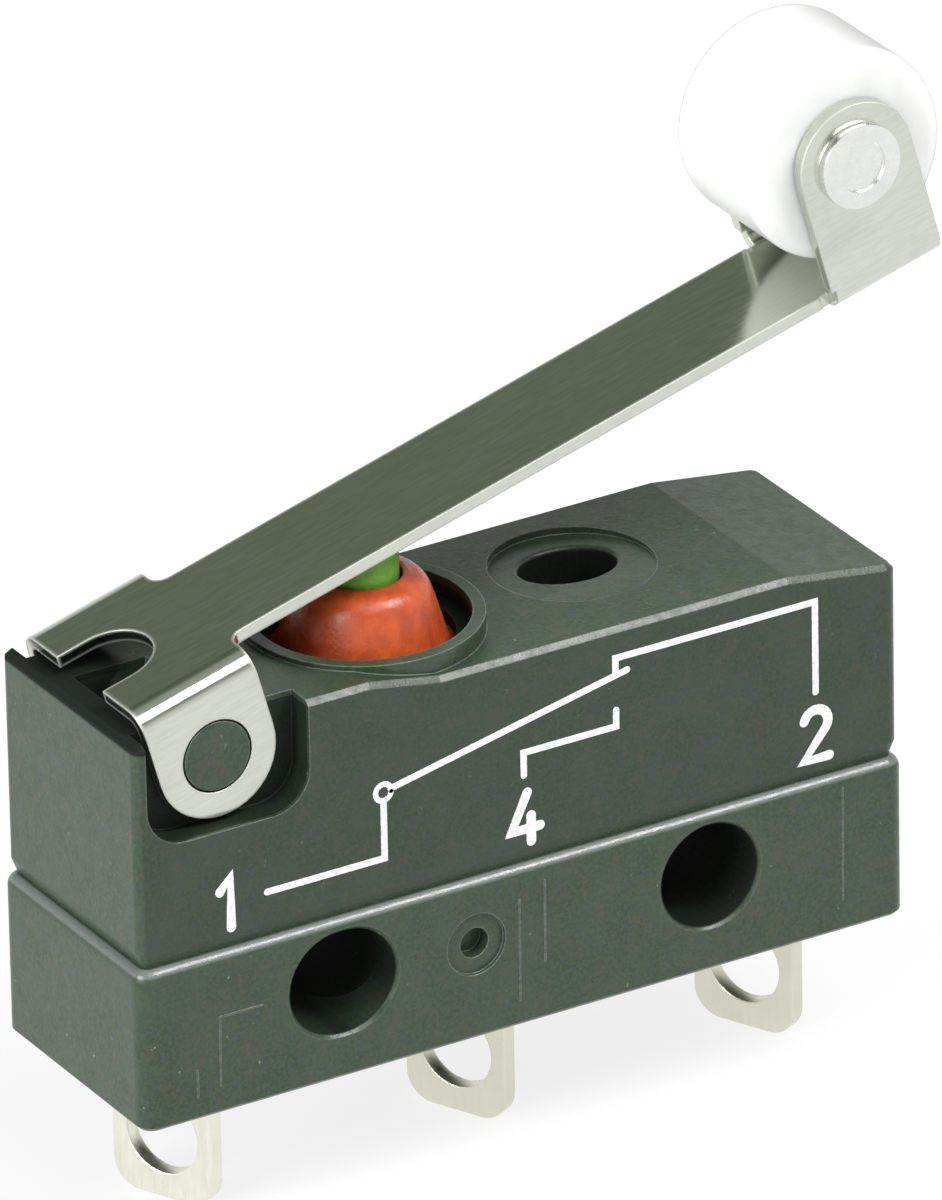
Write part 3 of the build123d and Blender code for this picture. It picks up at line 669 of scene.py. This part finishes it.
def floor():
    """White card under the lugs. It glows a little, so that the picture's ground stays white."""
    data = bmesh.new()
    bmesh.ops.create_grid(data, x_segments=8, y_segments=8, size=floor_half_size * MM)
    mesh = bpy.data.meshes.new("floor")
    data.to_mesh(mesh)
    data.free()
    piece = bpy.data.objects.new("floor", mesh)
    piece.location = (0.0, 0.0, floor_level * MM)
    bpy.context.scene.collection.objects.link(piece)
    material = bpy.data.materials.new("floor_card")
    material.use_nodes = True
    tree = material.node_tree
    tree.nodes.clear()
    output = tree.nodes.new("ShaderNodeOutputMaterial")
    card = tree.nodes.new("ShaderNodeBsdfDiffuse")
    glow = tree.nodes.new("ShaderNodeEmission")
    glow.inputs["Color"].default_value = (1.0, 1.0, 1.0, 1.0)
    mix = tree.nodes.new("ShaderNodeMixShader")
    seen, bounced = ray_kinds(tree)
    bounced_share = tree.nodes.new("ShaderNodeMath")
    bounced_share.operation = "MULTIPLY"
    bounced_share.inputs[1].default_value = floor_glow_mirrored
    tree.links.new(bounced, bounced_share.inputs[0])
    share = tree.nodes.new("ShaderNodeMath")
    share.operation = "MULTIPLY_ADD"
    share.inputs[1].default_value = floor_glow_seen
    shade = tree.nodes.new("ShaderNodeMix")
    shade.data_type = "RGBA"
    shade.inputs[6].default_value = (0.70, 0.70, 0.70, 1.0)
    shade.inputs[7].default_value = (0.90, 0.90, 0.90, 1.0)
    tree.links.new(seen, shade.inputs[0])
    tree.links.new(shade.outputs[2], card.inputs["Color"])
    tree.links.new(seen, share.inputs[0])
    tree.links.new(bounced_share.outputs[0], share.inputs[2])
    tree.links.new(share.outputs[0], mix.inputs[0])
    tree.links.new(card.outputs[0], mix.inputs[1])
    tree.links.new(glow.outputs[0], mix.inputs[2])
    tree.links.new(mix.outputs[0], output.inputs["Surface"])
    mesh.materials.append(material)


floor()


def softbox(name, place, aim, size, watts, tint=(1.0, 1.0, 1.0)):
    """A rectangular lamp that the camera doesn't see."""
    data = bpy.data.lights.new(name, "AREA")
    data.shape = "RECTANGLE"
    data.size = size[0] * MM
    data.size_y = size[1] * MM
    data.energy = watts
    data.color = tint
    lamp = bpy.data.objects.new(name, data)
    lamp.location = Vector(place) * MM
    facing = (Vector(aim) - Vector(place)).normalized()
    lamp.rotation_mode = "QUATERNION"
    lamp.rotation_quaternion = facing.to_track_quat("-Z", "Y")
    lamp.visible_camera = False
    bpy.context.scene.collection.objects.link(lamp)


middle = (-4.75, 0.0, 4.0)
softbox("key", (60.0, -190.0, 325.0), middle, (330.0, 210.0), 0.80)
softbox("glint", (172.0, -166.0, 296.0), middle, (120.0, 110.0), 0.72)
softbox("left", (-330.0, -60.0, 160.0), middle, (220.0, 220.0), 1.40, (0.96, 1.0, 0.98))


def surroundings():
    """White behind the part; mirrored faces see a ramp from bright below to dark above."""
    world = bpy.data.worlds.new("studio")
    world.use_nodes = True
    tree = world.node_tree
    tree.nodes.clear()
    output = tree.nodes.new("ShaderNodeOutputWorld")
    seen, bounced = ray_kinds(tree)
    coordinates = tree.nodes.new("ShaderNodeTexCoord")
    split = tree.nodes.new("ShaderNodeSeparateXYZ")
    tree.links.new(coordinates.outputs["Generated"], split.inputs[0])
    ramp = tree.nodes.new("ShaderNodeValToRGB")
    ramp.color_ramp.interpolation = "EASE"
    stops = ((0.02, 1.0), (0.30, 0.75), (0.46, 0.48), (0.56, 0.19), (0.72, 0.13), (0.86, 0.15), (1.0, 0.40))
    elements = ramp.color_ramp.elements
    elements[0].position, elements[1].position = stops[0][0], stops[-1][0]
    for position, _ in stops[1:-1]:
        elements.new(position)
    for element, (_, value) in zip(elements, stops):
        tint = min(1.0, value * 1.6)
        element.color = (value * (0.80 + 0.20 * tint), value, value * (0.66 + 0.34 * tint), 1.0)
    tree.links.new(split.outputs["Z"], ramp.inputs[0])
    lit = tree.nodes.new("ShaderNodeBackground")
    lit.inputs["Color"].default_value = (0.30, 0.30, 0.30, 1.0)
    mirrored = tree.nodes.new("ShaderNodeBackground")
    tree.links.new(ramp.outputs["Color"], mirrored.inputs["Color"])
    white = tree.nodes.new("ShaderNodeBackground")
    white.inputs["Color"].default_value = (1.0, 1.0, 1.0, 1.0)
    first = tree.nodes.new("ShaderNodeMixShader")
    tree.links.new(bounced, first.inputs[0])
    tree.links.new(lit.outputs[0], first.inputs[1])
    tree.links.new(mirrored.outputs[0], first.inputs[2])
    second = tree.nodes.new("ShaderNodeMixShader")
    tree.links.new(seen, second.inputs[0])
    tree.links.new(first.outputs[0], second.inputs[1])
    tree.links.new(white.outputs[0], second.inputs[2])
    tree.links.new(second.outputs[0], output.inputs["Surface"])
    bpy.context.scene.world = world


surroundings()
bpy.context.scene.view_settings.view_transform = "Standard"


def camera():
    """The photograph's camera: direction, roll and distance, shifted in the image plane."""
    ahead = Vector((-math.sin(camera_azimuth) * math.cos(camera_elevation),
                    math.cos(camera_azimuth) * math.cos(camera_elevation),
                    -math.sin(camera_elevation)))
    right = Vector((math.cos(camera_azimuth), math.sin(camera_azimuth), 0.0))
    down = ahead.cross(right)
    c, s = math.cos(camera_roll), math.sin(camera_roll)
    image_right = c * right + s * down
    image_down = -s * right + c * down
    place = camera_target - (camera_shift[0] * image_right + camera_shift[1] * image_down
                             + camera_distance * ahead)
    data = bpy.data.cameras.new("camera")
    data.sensor_width = sensor_size
    data.lens = focal_pixels / image_height * sensor_size
    data.clip_start = camera_near * MM
    data.clip_end = camera_far * MM
    eye = bpy.data.objects.new("camera", data)
    turn = Matrix((image_right, -image_down, -ahead)).transposed()
    eye.matrix_world = Matrix.Translation(place * MM) @ turn.to_4x4()
    bpy.context.scene.collection.objects.link(eye)
    bpy.context.scene.camera = eye


camera()
